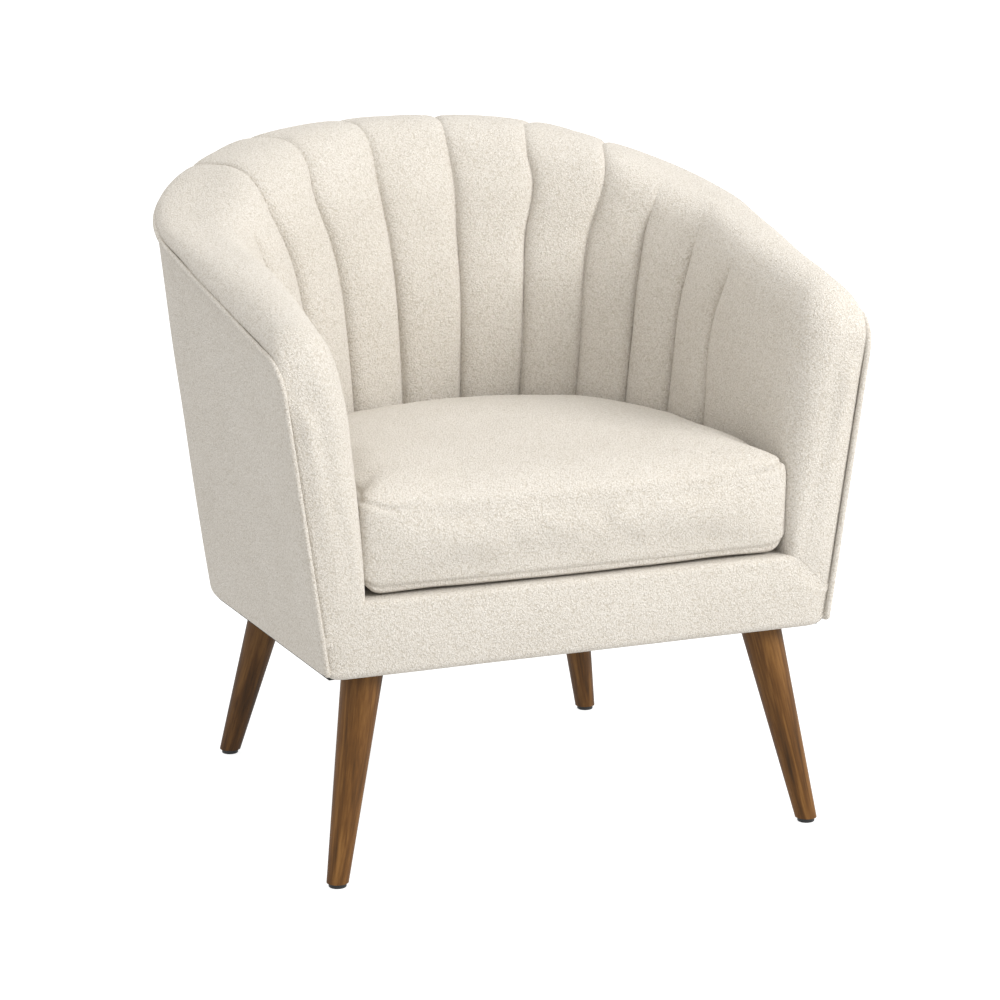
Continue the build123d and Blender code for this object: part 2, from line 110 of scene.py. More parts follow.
# Sewn channels: the seams are sections 0.5 to 5.5 on each side, and section 8 is the arm's front
SEAMS = (0.5, 1.5, 2.5, 3.5, 4.5, 5.5)
LAST = 8.0
SEAT_LEVEL = 457.0
SEAM_TURNS = (  # share of the way from the seat to the ridge, then each seam's turn round the tub
    (0.0, 7.0, 20.7, 33.5, 50.0, 72.0, 99.5),
    (0.6, 7.6, 22.0, 35.0, 52.0, 74.4, 100.4),
    (0.85, 7.9, 23.5, 37.5, 55.5, 79.5, 111.0),
    (1.0, 7.3, 21.3, 39.0, 61.5, 86.0, 119.0),
)
FADING_SEAM = 3  # from this seam outwards the seams run out below the ridge
CHANNEL_CROWN = 13.0
PADDING_DEPTHS = (-26, -8, 0, 30, 80)  # below the ridge; the negative ones are outside it
PADDING_SHARES = (0.0, 0.12, 0.24, 0.6, 1.0)  # of the crown, at those depths
ARM_THINNING = 0.75  # the arms' padding is thinner by this share
SEAM_GROOVE = 2.0
STITCH_WIDTH = 0.035  # half width of the groove, in channels
EDGE_TUCK = 3.0  # the cover's outer edge goes in under the welt
RIM_ROWS = 12
WALL_ROWS = 54
COLUMNS_PER_CHANNEL = 18

# Arm fronts and the front rail's cover
MITRE_TOP = (278.0, DECK_LINE - 5)
MITRE_Z = 290.0  # the arm front's mitre seam meets the welt here
MITRE_DEPTH = 0.4
MITRE_LAP = 8.0  # the rail's cover runs this far under the arm front's
ARM_PUFF = 7.0
FRONT_LAP = 1.0  # the arm front's edge is this far inside the outer seam
ARM_GROOVE = 2.2  # sewn groove beside the welt
RAIL_PUFF = 3.2
RAIL_GROOVE = 3.0
GROOVE_WIDTH = 3.0
DECK_EDGE = 268.0  # half width of the rail's cover on the deck

# Outside cover and welt
SIDE_BULGE = 2.4
FLAP = 26.0  # the cover is turned under the body by this much
CORNER_FLAP = 5.0  # and by this much at the front corners
WELT_RADIUS = 3.4
WELT_CENTRE = (0.0, 0.0, 560.0)  # the welt stands proud, away from here
WELT_PROUD = 1.0
WELT_SUNK = 9.0  # its ends go into the body by this much
WELT_START = math.radians(30)  # they start this far round the lower corner
WELT_OUT = math.radians(80)  # and are out in full here

# Cloth
WELD = 0.05  # points nearer than this are joined
THICK_CLOTH = 2.5
CLOTH = 2.0
TAPE = 0.9
CLOTH_FRAMES = 20

# Seat cushion
CUSHION_BOTTOM = 341.5
CUSHION_EDGE = 450.0
CUSHION_PLAN = (262.0, -62.0, 152.0, 50.0)
CUSHION_FRONT = -318.0
CUSHION_FLARE = 7.0  # wider at the front
CUSHION_SWELL = 7.0  # and wider again between the arms' fronts
CUSHION_BOW = 7.0  # the front edge bows out by this much
CUSHION_MIDDLE = (0.0, -90.0)
CUSHION_SHRINK = 1.5  # the cover starts smaller and is blown up
CUSHION_CROWN = 14.0
CUSHION_RISE = 12.0  # fuller at the back
CUSHION_SIDE_RISE = 12.5  # and along the sides
CUSHION_TURN = 16.0  # front corners, seen from above
CUSHION_DROOP = 6.0  # the front edge sinks past the deck, onto the rail
CUSHION_CORNER_RISE = 11.0  # the front's lower corners are rounder
CUSHION_SEAM = 443.0
CUSHION_SEAM_DIP = 9.0  # the upper seam runs lower along the front's middle
CUSHION_LOW_SEAM = CUSHION_BOTTOM + 10
CUSHION_SEAM_WIDTH = 2.6
ARM_GAP = 263.0  # about half the width between the arms
CUSHION_SQUEEZE = 4.0  # past that and the flare, the cushion bulges by no more than this
ZIP_CENTRE = -174.03  # of the zip's arc, along Y
ZIP_RADIUS = 300.2
ZIP_TURN = 32.0  # to each side, in degrees
ZIP_MIDDLE = 396.75
ZIP_HEIGHT = 26.0
ZIP_SINK = 2.5  # the cushion's back is pressed in this far under the zip
ZIP_EDGE = 3.0  # and comes back out over this width
TOOTH_PITCH = 2.4

# Deck
DECK_MIDDLE = (0.0, -80.0)
DECK_TOP = 340.6
DECK_ROLL = 4.5  # its edge is lower by this much
DECK_COLUMNS = 90
DECK_LEVEL = 345.0  # its outline is that of the inner faces at this height
DECK_FRONT = FRONT + 38

# Colours, linear
CREAM_LIGHT = (0.81, 0.77, 0.71, 1.0)
# The darker cream is painted shade for the hollows between the boucle's loops.
CREAM_HOLLOW_SHADE = (0.52, 0.47, 0.395, 1.0)
WALNUT = ((0.35, (0.048, 0.020, 0.003)), (0.50, (0.120, 0.048, 0.008)), (0.64, (0.222, 0.102, 0.024)))

# Legs: lean from foot to head over a height of LEG_RISE, and a darkening of each leg's walnut that is
# painted shade, the back legs most
LEG_RISE = 250.0
LEGS = {
    "leg_front_right": (-49.2, 39.8, 0.95),
    "leg_front_left": (49.2, 39.8, 1.0),
    "leg_back_right": (-52.7, -49.4, 0.8),
    "leg_back_left": (52.7, -49.4, 0.66),
}


def smooth(x, table, column=1):
    """Cubic through a table's points, with each slope taken from the neighbours."""
    table = np.asarray(table, float)
    knots, values = table[:, 0], table[:, column]
    slopes = np.gradient(values, knots)
    x = np.clip(x, knots[0], knots[-1])
    i = np.clip(np.searchsorted(knots, x) - 1, 0, len(knots) - 2)
    h = knots[i + 1] - knots[i]
    s = (x - knots[i]) / h
    left = (1 + 2 * s) * (1 - s) ** 2 * values[i] + s * (1 - s) ** 2 * h * slopes[i]
    right = s * s * (3 - 2 * s) * values[i + 1] - s * s * (1 - s) * h * slopes[i + 1]
    return left + right


def ease(x, start, end):
    """0 before start, 1 after end, and smooth between them."""
    s = np.clip((np.asarray(x, float) - start) / (end - start), 0, 1)
    return s * s * (3 - 2 * s)


def round_off(distance, radius):
    """How far a rounded edge gives way at a distance from the corner that it replaces."""
    depth = np.clip(radius - distance, 0, radius)
    return radius - np.sqrt(radius**2 - depth**2)


def arch(plan, turn):
    """(x, y) on a three-centred arch.

    Turn 0 is the middle of the back, 90 the end of its curve and 180 the front.
    """
    width, straight, corner, angle = plan
    phi = np.radians(angle)
    large = corner + (width - corner) / np.cos(phi)
    centre = straight - (width - corner) * np.tan(phi)
    theta = np.radians(90 - np.minimum(turn, 90.0))
    x = np.where(theta < phi, width - corner + corner * np.cos(theta), large * np.cos(theta))
    y = np.where(theta < phi, straight + corner * np.sin(theta), centre + large * np.sin(theta))
    return x, y - np.clip((turn - 90) / 90, 0, 1) * (straight - FRONT)


def outer_face(turn, z):
    share = (z - BODY_BOTTOM) / (OUTER_HIGH_Z - BODY_BOTTOM)
    low, high = arch(OUTER_LOW, turn), arch(OUTER_HIGH, turn)
    return low[0] + share * (high[0] - low[0]), low[1] + share * (high[1] - low[1])


def inner_face(turn, z):
    width = smooth(z, INNER_LEVELS, 1)
    straight = smooth(z, INNER_LEVELS, 2)
    back = smooth(z, INNER_LEVELS, 3)
    gain = 1 / math.cos(math.radians(INNER_ANGLE)) - math.tan(math.radians(INNER_ANGLE))
    corner = (back - straight - gain * width) / (1 - gain)
    return arch((width, straight, corner, INNER_ANGLE), turn)


def turns(u, share):
    """Turn of section u, at a share of the way from the seat to the ridge."""
    u = np.abs(u) + 0 * share
    share = np.clip(share, 0, 1) + 0 * u
    stations = (0.0, *SEAMS, LAST)
    at = [0 * u] + [smooth(share, SEAM_TURNS, k + 1) for k in range(len(SEAMS))] + [0 * u + 180.0]
    found = 0 * u
    for k in range(len(stations) - 1):
        inside = (u >= stations[k]) & (u <= stations[k + 1])
        s = (u - stations[k]) / (stations[k + 1] - stations[k])
        found = np.where(inside, at[k] + s * (at[k + 1] - at[k]), found)
    return found


def ridge_point(u):
    x, y = arch(RIDGE_PLAN, turns(u, 1.0))
    drop = round_off(y - FRONT, RIDGE_TURN)
    return np.stack([x - RIDGE_LEAN * drop, y, smooth(y, RIDGE_LINE) - drop], -1)


def seam_point(u):
    """The outer seam, under the welt."""
    turn = turns(u, 1.0)
    z = np.full(np.shape(turn), 700.0)
    for _ in range(5):
        x, y = outer_face(turn, z)
        z = smooth(y, SEAM_LINE) - round_off(y - FRONT, SEAM_TURN)
    x, y = outer_face(turn, z)
    return np.stack([x, y, z], -1)


def wall_point(u, z, top):
    x, y = inner_face(turns(u, (z - SEAT_LEVEL) / (top - SEAT_LEVEL)), z)
    flare = (FRONT_FLARE + HIGH_FLARE * ease(z, 530, 620)) * ease(y, FRONT + FLARE_LENGTH, FRONT)
    radius = INNER_TURN_LOW + (INNER_TURN_HIGH - INNER_TURN_LOW) * ease(z, 340, 510)
    return np.stack([x + flare + round_off(y - FRONT, radius), y, z], -1)


def bezier(a, b, c, d, s):
    return (1 - s) ** 3 * a + 3 * s * (1 - s) ** 2 * b + 3 * s * s * (1 - s) * c + s**3 * d


def cross_sections(u):
    """Points over sections u: from the outer seam over the ridge and down the inner face to the deck."""
    ridge, seam = ridge_point(u), seam_point(u)
    top = ridge[:, 2]
    turned = round_off(ridge[:, 1] - FRONT, SHOULDER_TURN) - round_off(ridge[:, 1] - FRONT, RIDGE_TURN)
    shoulder_z = top - RIM_DROP - turned
    shoulder = wall_point(u, shoulder_z, top)
    inner_lean = (wall_point(u, shoulder_z + 5, top) - shoulder) / 5
    higher = np.stack([*outer_face(turns(u, 1.0), seam[:, 2] + 10), seam[:, 2] + 10], -1)
    outer_lean = (higher - seam) / 10
    full = (QUARTER_ELLIPSE + (BACK_RIM_FULLNESS - QUARTER_ELLIPSE) * ease(u, 6.5, 4.5))[:, None]
    rise = full * (top - seam[:, 2])[:, None]
    flat = np.array([1, 1, 0])
    s = np.linspace(0, 1, RIM_ROWS)[None, :, None]
    outer = bezier(
        seam[:, None],
        (seam + outer_lean * rise)[:, None],
        (ridge + full * (seam - ridge) * flat)[:, None],
        ridge[:, None],
        s,
    )
    inner = bezier(
        ridge[:, None],
        (ridge + QUARTER_ELLIPSE * (shoulder - ridge) * flat)[:, None],
        (shoulder + inner_lean * QUARTER_ELLIPSE * (top - shoulder_z)[:, None])[:, None],
        shoulder[:, None],
        s,
    )
    fall = np.linspace(0, 1, WALL_ROWS)[None, 1:]
    z = shoulder_z[:, None] + fall * (WALL_END - shoulder_z)[:, None]
    wall = wall_point(np.broadcast_to(u[:, None], z.shape), z, top[:, None])
    return np.concatenate([outer[:, :-1], inner, wall], 1)


def channel_profile(u):
    """0 at a channel seam and 1 on the crown between two seams."""
    u = np.abs(u)
    s = (u + 0.5) % 1.0
    channel = np.clip(1 - np.abs(2 * s - 1) ** 2.6, 0, 1) ** 0.62
    arm = 1 - np.exp(-np.clip(u - SEAMS[-1], 0, None) * 8)
    return np.where(u < SEAMS[-1], channel, arm)


def padding_rise(u, below):
    """How far the padding stands out of the seam surface, at a depth below the ridge."""
    u = np.abs(u) + 0 * below
    below = below + 0 * u
    height = np.interp(below, PADDING_DEPTHS, PADDING_SHARES) * CHANNEL_CROWN
    height = height * (1 - ARM_THINNING * ease(u, 5.0, 6.4))
    fading = ease(below, 6, 85)
    depth = np.where(u > FADING_SEAM, fading, 1.0)
    nearest = np.abs((u % 1.0) - 0.5)
    stitched = np.where(u < SEAMS[-1] + 0.5, np.exp(-((nearest / STITCH_WIDTH) ** 2)), 0.0)
    groove = SEAM_GROOVE * stitched * depth * ease(below, -24, -6)
    return height * (1 - depth * (1 - channel_profile(u))) - groove


def grid_normals(points):
    along = np.gradient(points, axis=0)
    across = np.gradient(points, axis=1)
    normal = np.cross(along, across)
    return normal / np.maximum(np.linalg.norm(normal, axis=-1, keepdims=True), 1e-9)


def unevenness(points, seed, size, amount):
    """Soft random rise and fall of hand-laid padding, about amount high and size across."""
    draw = np.random.default_rng(seed)
    total = np.zeros(points.shape[:-1])
    for _ in range(9):
        direction = draw.normal(size=3)
        direction /= np.linalg.norm(direction)
        wave = 2 * math.pi / (size * draw.uniform(0.7, 1.6))
        total += np.sin(points @ direction * wave + draw.uniform(0, 2 * math.pi))
    return total / 3 * amount


def section_stations():
    """Values of u from the middle of the back to the arm's front, closer together at the seams."""
    cosine = 0.5 - 0.5 * np.cos(np.linspace(0, math.pi, COLUMNS_PER_CHANNEL + 1))
    found = list(cosine[cosine >= 0.5 - 1e-9] - 0.5)
    for k in range(5):
        found += list(SEAMS[k] + cosine[1:])
    ridge_end = 90 + 90 * (RIDGE_PLAN[1] - FRONT - RIDGE_TURN) / (RIDGE_PLAN[1] - FRONT)
    turn_5 = SEAM_TURNS[-1][-1]
    turning = SEAMS[-1] + (LAST - SEAMS[-1]) * (ridge_end - turn_5) / (180 - turn_5)
    found += list(SEAMS[-1] + (turning - SEAMS[-1]) * np.linspace(0, 1, 25)[1:] ** 1.25)
    found += list(turning + (LAST - turning) * np.sin(np.linspace(0, math.pi / 2, 13))[1:])
    return np.array(found)


class Patchwork:
    """Collects grids of points into one mesh."""

    def __init__(self):
        self.points, self.faces = [], []

    def add(self, grid, flip=False):
        rows, columns = grid.shape[:2]
        base = len(self.points)
        self.points += [tuple(p) for p in grid.reshape(-1, 3)]
        for i in range(rows - 1):
            for j in range(columns - 1):
                a = base + i * columns + j
                face = (a, a + 1, a + columns + 1, a + columns)
                self.faces.append(face[::-1] if flip else face)

    def build(self, name):
        mesh = bpy.data.meshes.new(name)
        mesh.from_pydata([[c / 1000 for c in p] for p in self.points], [], self.faces)
        made = bmesh.new()
        made.from_mesh(mesh)
        bmesh.ops.remove_doubles(made, verts=made.verts, dist=WELD / 1000)
        bmesh.ops.dissolve_degenerate(made, edges=made.edges, dist=WELD / 1000)
        bmesh.ops.recalc_face_normals(made, faces=made.faces)
        made.to_mesh(mesh)
        made.free()
        mesh.polygons.foreach_set("use_smooth", [True] * len(mesh.polygons))
        piece = bpy.data.objects.new(name, mesh)
        bpy.context.scene.collection.objects.link(piece)
        return piece


def subdivide(piece):
    modifier = piece.modifiers.new("smooth", "SUBSURF")
    modifier.levels = modifier.render_levels = 1


def thicken(piece, thickness):
    modifier = piece.modifiers.new("cloth", "SOLIDIFY")
    modifier.thickness = thickness / 1000
    modifier.offset = -1.0


def body_edge(z):
    """Half width of the front, with its lower corners rounded."""
    return outer_face(180.0, z)[0] - round_off(z - BODY_BOTTOM, CORNER_TURN)


def mitre_x(z):
    share = (MITRE_TOP[1] - z) / (MITRE_TOP[1] - MITRE_Z)
    return MITRE_TOP[0] + share * (body_edge(MITRE_Z) - MITRE_TOP[0])


def tub_grid():
    """Points of the padded cover, from section to section and down each section."""
    u = section_stations()
    points = cross_sections(u)
    top = points[:, RIM_ROWS - 1, 2][:, None]
    below = top - points[..., 2]
    below[:, : RIM_ROWS - 1] *= -1
    normal = grid_normals(points)
    normal *= np.sign(normal[..., 2].mean() or 1)
    outward = np.where(normal[:, RIM_ROWS - 1, 2][:, None, None] < 0, -1, 1)
    rise = padding_rise(u[:, None], below)
    quiet = ease(points[..., 1], FRONT + 2, FRONT + 45)
    points = points + normal * outward * (rise * quiet)[..., None]
    points[:, 0] -= normal[:, 0] * outward[:, 0] * EDGE_TUCK
    points[0, :, 0] = 0
    return points


def arm_front(section):
    """Rows across the front of an arm, from its top down to the mitre seam."""
    columns = np.linspace(0, 1, 19)
    ridge = RIM_ROWS - 1
    wall = [p for p in section[2 * ridge + 1 :] if p[2] > MITRE_TOP[1]]
    pairs = [(section[ridge - k], section[ridge + k], 0.0) for k in range(ridge + 1)]
    start = section[0][2]
    shift = body_edge(start) - section[0][0]
    for k, point in enumerate(wall):
        z = start + (MITRE_TOP[1] - start) * (k + 1) / (len(wall) + 1)
        pairs.append((np.array([body_edge(z) - shift, FRONT, z]), point, ease(k, -1, 7)))
    for z in np.linspace(MITRE_TOP[1], MITRE_Z, 14):
        pairs.append((np.array([body_edge(z) - shift, FRONT, z]), np.array([mitre_x(z), FRONT, z]), 1.0))
    top = section[: 2 * ridge][::-1]
    rows = []
    for outer, inner, sewn in pairs:
        width = np.linalg.norm(outer - inner)
        row = outer + columns[:, None] * (inner - outer)
        below = np.interp(row[:, 0], top[:, 0], top[:, 2]) - row[:, 2]
        puff = ARM_PUFF * ease(columns * width, 0, 42) * ease((1 - columns) * width, 0, 50)
        groove = sewn * ARM_GROOVE * np.exp(-((columns * width / GROOVE_WIDTH) ** 2))
        row[:, 1] = FRONT - puff * ease(below, 0, 50) + groove
        rows.append(row)
    return np.array(rows)


def make_tub():
    points = tub_grid()
    points[-1, :, 1] = FRONT
    points[-1, 0, 0] -= FRONT_LAP
    front = arm_front(points[-1])
    normal = grid_normals(points)
    soft = ease(points[..., 1], FRONT + 10, FRONT + 60) * ease(points[..., 0], 0, 30)
    patch = Patchwork()
    for side in (1, -1):
        mirror = np.array([side, 1, 1])
        bumps = unevenness(points * mirror, seed=11, size=150, amount=0.9) * soft
        patch.add((points + normal * bumps[..., None]) * mirror, flip=side < 0)
        patch.add(front * mirror, flip=side > 0)
    tub = patch.build("tub_upholstery")
    thicken(tub, THICK_CLOTH)
    subdivide(tub)
    return tub


def outside_face(seam, turn):
    """Points of the bare outer face, from the outer seam down to the body's bottom."""
    top = seam[:, 2][:, None]
    z = top + np.linspace(0, 1, 46)[None, :] * (BODY_BOTTOM - top)
    low_rows = BODY_BOTTOM + CORNER_TURN * (1 - np.sin(np.linspace(0.15, math.pi / 2, 8)))
    z = np.concatenate([z[:, :-4], np.broadcast_to(low_rows[None, :], (len(seam), 8))], 1)
    z = -np.sort(-z, axis=1)
    x, y = outer_face(turn[:, None] + 0 * z, z)
    return np.stack([x, y, z], -1)


def outside_grid():
    """The outer face with its fullness, its rounded lower edge and the flap under the body."""
    u = section_stations()
    seam = seam_point(u)
    grid = outside_face(seam, turns(u, 1.0))
    z = grid[..., 2]
    normal = grid_normals(grid)
    normal *= np.where(normal[..., 0].mean() < 0, -1, 1)
    flat = normal * np.array([1, 1, 0])
    flat /= np.maximum(np.linalg.norm(flat, axis=-1, keepdims=True), 1e-9)
    corner = ease(grid[..., 1], FRONT + CORNER_REACH, FRONT + 4)
    tuck = round_off(z - BODY_BOTTOM, SIDE_TURN) * (1 - corner)
    tuck += round_off(z - BODY_BOTTOM, CORNER_TURN) * corner
    depth = (seam[:, 2][:, None] - z) / (seam[:, 2][:, None] - BODY_BOTTOM)
    loose = ease(grid[..., 1], FRONT, FRONT + 30) * np.sin(math.pi * np.clip(depth, 0, 1))
    bumps = unevenness(grid, seed=5, size=170, amount=0.8) * ease(grid[..., 0], 0, 40)
    full = (SIDE_BULGE + bumps) * loose
    grid = grid - flat * tuck[..., None] + normal * full[..., None]
    lift = round_off(np.clip(grid[..., 1] - FRONT, 0, None), CORNER_LIFT)
    grid[..., 2] += lift * ease(grid[..., 2], BODY_BOTTOM + 24, BODY_BOTTOM)
    edge = grid[:, -1]
    flap = CORNER_FLAP + (FLAP - CORNER_FLAP) * ease(edge[:, 1], FRONT + 4, FRONT + CORNER_REACH)
    under = edge - flat[:, -1] * flap[:, None]
    grid = np.concatenate([grid, under[:, None]], 1)
    grid[0, :, 0] = 0
    return grid


def make_outside():
    grid = outside_grid()
    patch = Patchwork()
    for side in (1, -1):
        patch.add(grid * np.array([side, 1, 1]), flip=side > 0)
    cover = patch.build("outside_cover_cloth")
    thicken(cover, CLOTH)
    subdivide(cover)
    return cover


def border_rows():
    """(y, z, level) of each row, level being the body's bottom or the deck where the row lies flat."""
    rows = []
    for back in (40, 24, SOFT_EDGE):
        rows.append((FRONT + back, BODY_BOTTOM, BODY_BOTTOM))
    for angle in np.linspace(0, math.pi / 2, 6)[1:]:
        y = FRONT + SOFT_EDGE * (1 - math.sin(angle))
        rows.append((y, BODY_BOTTOM + SOFT_EDGE * (1 - math.cos(angle)), None))
    for z in np.linspace(BODY_BOTTOM + SOFT_EDGE, DECK_LINE - RAIL_EDGE, 24)[1:]:
        rows.append((FRONT, z, None))
    for angle in np.linspace(0, math.pi / 2, 7)[1:]:
        turned = (RAIL_EDGE * (1 - math.cos(angle)), RAIL_EDGE * math.sin(angle))
        rows.append((FRONT + turned[0], DECK_LINE - RAIL_EDGE + turned[1], None))
    for back in (15, 24, 34, 46, 60):
        rows.append((FRONT + back, DECK_LINE, DECK_LINE))
    return rows


def make_front_border():
    """The front rail's cover: under the body, up the front and over its top edge to the deck."""
    across = np.linspace(-1, 1, 81)
    grid = []
    for y, z, level in border_rows():
        edge = body_edge(z) if z < MITRE_Z else mitre_x(min(z, MITRE_TOP[1]))
        if level == DECK_LINE:
            edge = DECK_EDGE + round_off(y - FRONT, INNER_TURN_LOW)
        lap = MITRE_LAP if level is None and z >= MITRE_Z else 0.0
        x = across * (edge + lap)
        from_edge = edge - np.abs(x)
        on_face = 1.0 if level is None else 0.0
        height = np.clip((z - BODY_BOTTOM) / (DECK_LINE - BODY_BOTTOM), 0, 1)
        puff = RAIL_PUFF * np.sin(math.pi * height) * on_face
        crease = RAIL_GROOVE * np.exp(-((from_edge / GROOVE_WIDTH) ** 2)) * on_face
        if z >= MITRE_Z:
            crease = on_face * MITRE_DEPTH * ease(from_edge, 6, -1) + 0.5 * ease(from_edge, 0, -MITRE_LAP)
        line = np.stack([x, y - puff * ease(from_edge, 0, 30) + crease, z + 0 * x], -1)
        bumps = unevenness(line, seed=3, size=120, amount=0.5)
        line[:, 1] -= bumps * on_face * ease(from_edge, 0, 30)
        grid.append(line)
    patch = Patchwork()
    patch.add(np.array(grid))
    border = patch.build("front_border_cloth")
    thicken(border, CLOTH)
    subdivide(border)
    return border


def welt_path():
    """The welt's line: from under one front corner up the arm, round the rim and down again."""
    u = section_stations()
    seam = seam_point(u)
    low = np.linspace(BODY_BOTTOM, seam[-1, 2], 60)[:-1]
    corner_x = outer_face(180.0, BODY_BOTTOM + CORNER_TURN)[0] - CORNER_TURN
    corner = []
    for a in np.linspace(WELT_START, math.pi / 2, 10):
        round_x, round_z = CORNER_TURN * math.sin(a), CORNER_TURN * (1 - math.cos(a))
        sunk = WELT_SUNK * (1 - ease(a, WELT_START, WELT_OUT))
        corner.append((corner_x + round_x, FRONT + sunk, BODY_BOTTOM + round_z + sunk))
    edge = [(body_edge(z), FRONT, z) for z in low if z > BODY_BOTTOM + CORNER_TURN + 2]
    half = np.concatenate([np.array([*corner, *edge]), seam[::-1]])
    other = half[::-1][1:] * np.array([-1, 1, 1])
    return np.concatenate([half, other])


def make_welt():
    path = welt_path()
    outward = (path - np.array(WELT_CENTRE)) * np.array([1, 0.6, 0.3])
    outward /= np.linalg.norm(outward, axis=1, keepdims=True)
    path = path + outward * WELT_PROUD + np.array([0, -0.6, 0])
    curve = bpy.data.curves.new("rim_welt_line", "CURVE")
    curve.dimensions = "3D"
    spline = curve.splines.new("POLY")
    spline.points.add(len(path) - 1)
    for point, place in zip(spline.points, path):
        point.co = (*(place / 1000), 1)
    curve.bevel_depth = WELT_RADIUS / 1000
    curve.bevel_resolution = 3
    curve.use_fill_caps = True
    line = bpy.data.objects.new("rim_welt_line", curve)
    bpy.context.scene.collection.objects.link(line)
    mesh = bpy.data.meshes.new_from_object(line)
    bpy.data.objects.remove(line)
    mesh.polygons.foreach_set("use_smooth", [True] * len(mesh.polygons))
    welt = bpy.data.objects.new("rim_welt_cloth", mesh)
    bpy.context.scene.collection.objects.link(welt)
    return welt


def cushion_flare(y):
    """How much wider the cushion is at y, where it swells past the arms' rounded fronts."""
    return CUSHION_FLARE * ease(y, -130, CUSHION_FRONT) + CUSHION_SWELL * ease(y, -268, CUSHION_FRONT)


def cushion_outline(inset):
    """Closed plan of the cushion, moved in by inset, as (x, y) points from the front's middle."""
    width, straight, corner, angle = CUSHION_PLAN
    plan = (width - inset, straight, corner - inset, angle)
    half = []
    front = CUSHION_FRONT + inset
    turn = CUSHION_TURN
    for x in np.linspace(0, width - inset - turn, 24)[:-1]:
        half.append((x, front - CUSHION_BOW * (1 - (x / width) ** 2)))
    for a in np.linspace(0, math.pi / 2, 9):
        bow = CUSHION_BOW * (1 - ((width - turn) / width) ** 2) * (1 - a / (math.pi / 2))
        half.append((width - inset - turn + turn * math.sin(a), front + turn * (1 - math.cos(a)) - bow))
    for y in np.linspace(front + turn, straight, 20)[1:-1]:
        half.append((width - inset, y))
    for t in np.linspace(90, 0, 50):
        x, y = arch(plan, t)
        half.append((float(x), float(y)))
    half = np.array(half)
    half[:, 0] += cushion_flare(half[:, 1]) * ease(half[:, 0], 150, 240)
    other = half[::-1][1:-1] * np.array([-1, 1])
    return np.concatenate([half, other])


def at_height(outline, z):
    return np.column_stack([outline, np.full(len(outline), z)])


def cushion_cap(ring, crown):
    """Smaller and smaller copies of a ring that close it, rising by crown to the middle."""
    middle = np.array(CUSHION_MIDDLE)
    shares = (0.8, 0.6, 0.4, 0.2, 0.03)
    z = ring[0, 2]
    return [at_height(middle + (ring[:, :2] - middle) * k, z + crown * (1 - k**3)) for k in shares]


def cushion_block():
    """Closed starting shape of the seat cushion."""
    shrink = CUSHION_SHRINK
    low, high, turn, low_turn = CUSHION_BOTTOM + shrink * 0.5, CUSHION_EDGE - shrink, 15.0, 10.0
    rings = []
    for a in np.linspace(0, math.pi / 2, 5):
        rings.append((shrink + low_turn * (1 - math.sin(a)), low + low_turn * (1 - math.cos(a))))
    for z in np.linspace(low + low_turn, high - turn, 10)[1:-1]:
        rings.append((shrink, z))
    for a in np.linspace(0, math.pi / 2, 5):
        rings.append((shrink + turn * (1 - math.cos(a)), high - turn + turn * math.sin(a)))
    outline = [at_height(cushion_outline(inset), z) for inset, z in rings]
    bottom = cushion_cap(outline[0], 0.0)
    outline = bottom[::-1] + outline + cushion_cap(outline[-1], CUSHION_CROWN)
    grid = np.array(outline)
    grid = np.concatenate([grid, grid[:, :1]], 1)
    patch = Patchwork()
    patch.add(grid)
    block = patch.build("seat_cushion_cloth")
    made = bmesh.new()
    made.from_mesh(block.data)
    holes = [e for e in made.edges if e.is_boundary]
    bmesh.ops.holes_fill(made, edges=holes)
    bmesh.ops.recalc_face_normals(made, faces=made.faces)
    made.to_mesh(block.data)
    made.free()
    return block


def mesh_points(piece):
    found = np.zeros(len(piece.data.vertices) * 3, np.float32)
    piece.data.vertices.foreach_get("co", found)
    return found.reshape(-1, 3).astype(float)


def set_points(piece, points):
    piece.data.vertices.foreach_set("co", points.astype(np.float32).ravel())
    piece.data.update()


def apply_modifiers(piece):
    graph = bpy.context.evaluated_depsgraph_get()
    mesh = bpy.data.meshes.new_from_object(piece.evaluated_get(graph))
    piece.modifiers.clear()
    piece.data = mesh


def inflate(piece, voxel, pressure, cap):
    """Cloth simulation of a stuffed cover, with each point's movement capped."""
    remesh = piece.modifiers.new("even", "REMESH")
    remesh.mode = "VOXEL"
    remesh.voxel_size = voxel / 1000
    apply_modifiers(piece)
    start = mesh_points(piece)
    cloth = piece.modifiers.new("stuffing", "CLOTH")
    cloth.settings.quality = 5
    cloth.settings.mass = 0.3
    cloth.settings.tension_stiffness = cloth.settings.compression_stiffness = 25
    cloth.settings.shear_stiffness = 15
    cloth.settings.bending_stiffness = 2.0
    cloth.settings.use_pressure = True
    cloth.settings.uniform_pressure_force = pressure
    cloth.settings.effector_weights.gravity = 0
    cloth.collision_settings.use_collision = False
    scene = bpy.context.scene
    scene.frame_start, scene.frame_end = 1, CLOTH_FRAMES
    for number in range(1, CLOTH_FRAMES + 1):
        scene.frame_set(number)
    apply_modifiers(piece)
    scene.frame_set(1)
    moved = mesh_points(piece) - start
    length = np.linalg.norm(moved, axis=1, keepdims=True)
    limit = cap / 1000
    capped = limit * np.tanh(length / limit)
    set_points(piece, start + moved * capped / np.maximum(length, 1e-9))


def relax(piece, rounds):
    """Evens out small puckers without changing the shape's size much."""
    made = bmesh.new()
    made.from_mesh(piece.data)
    for _ in range(rounds):
        bmesh.ops.smooth_vert(
            made, verts=made.verts, factor=0.5, use_axis_x=True, use_axis_y=True, use_axis_z=True
        )
    made.to_mesh(piece.data)
    made.free()


def vertex_normals(piece):
    found = np.zeros(len(piece.data.vertices) * 3, np.float32)
    piece.data.vertices.foreach_get("normal", found)
    return found.reshape(-1, 3).astype(float)


